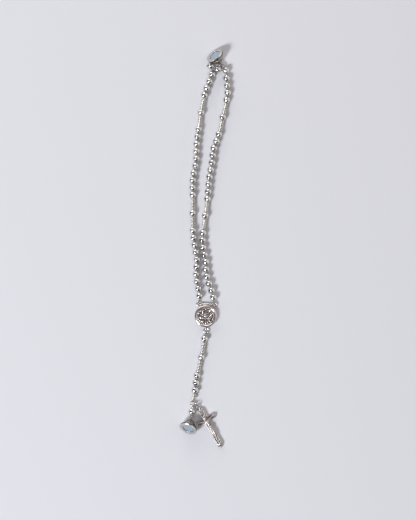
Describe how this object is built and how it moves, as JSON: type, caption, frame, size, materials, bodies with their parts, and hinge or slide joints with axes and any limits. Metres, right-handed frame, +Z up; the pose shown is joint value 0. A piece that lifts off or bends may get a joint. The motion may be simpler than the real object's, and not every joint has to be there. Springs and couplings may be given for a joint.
{
  "type": "rosary bracelet",
  "caption": "Small-bead silver rosary laid out straight as a doubled strand, with a round medal, a short drop with a crucifix, and a magnetic clasp half at each end.",
  "frame": {"origin": "on the surface that the piece lies on, under the middle of its box", "axes": "+Y along the doubled strand, from the crucifix to the top; +X to the right seen from above; +Z up"},
  "size_m": [0.0214, 0.1659, 0.0066],
  "materials": {
    "bead_silver": "polished",
    "spacer_silver": "polished, slightly warm",
    "ring_silver": "polished wire",
    "cast_silver": "cast relief, polished high spots and dark recesses",
    "clasp_silver": "polished, turned",
    "thread_steel": "fine twisted strand and wire",
    "magnet_blue": "pale blue plated, satin"
  },
  "bodies": {
    "root": {"beads_left": "bead_silver", "beads_right": "bead_silver", "spacers_left": "spacer_silver", "spacers_right": "spacer_silver", "spacers_drop": "spacer_silver", "divider_left_upper": "bead_silver", "divider_left_lower": "bead_silver", "divider_right_upper": "bead_silver", "divider_right_lower": "bead_silver", "drop_bead_1": "bead_silver", "drop_bead_2": "bead_silver", "drop_bead_3": "bead_silver", "drop_bead_4": "bead_silver", "drop_bead_5": "bead_silver", "thread_loop": "thread_steel", "thread_drop": "thread_steel", "medal": "cast_silver", "medal_ring": "ring_silver", "drop_ring": "ring_silver", "crucifix_ring": "ring_silver", "crucifix": "cast_silver", "clasp_bead": "bead_silver", "clasp_pin": "thread_steel", "clasp_cup": "clasp_silver", "clasp_magnet": "magnet_blue", "top_ring": "ring_silver", "top_link": "ring_silver", "top_bead": "bead_silver", "top_pin": "thread_steel", "top_cup": "clasp_silver", "top_magnet": "magnet_blue"}
  },
  "joints": []
}
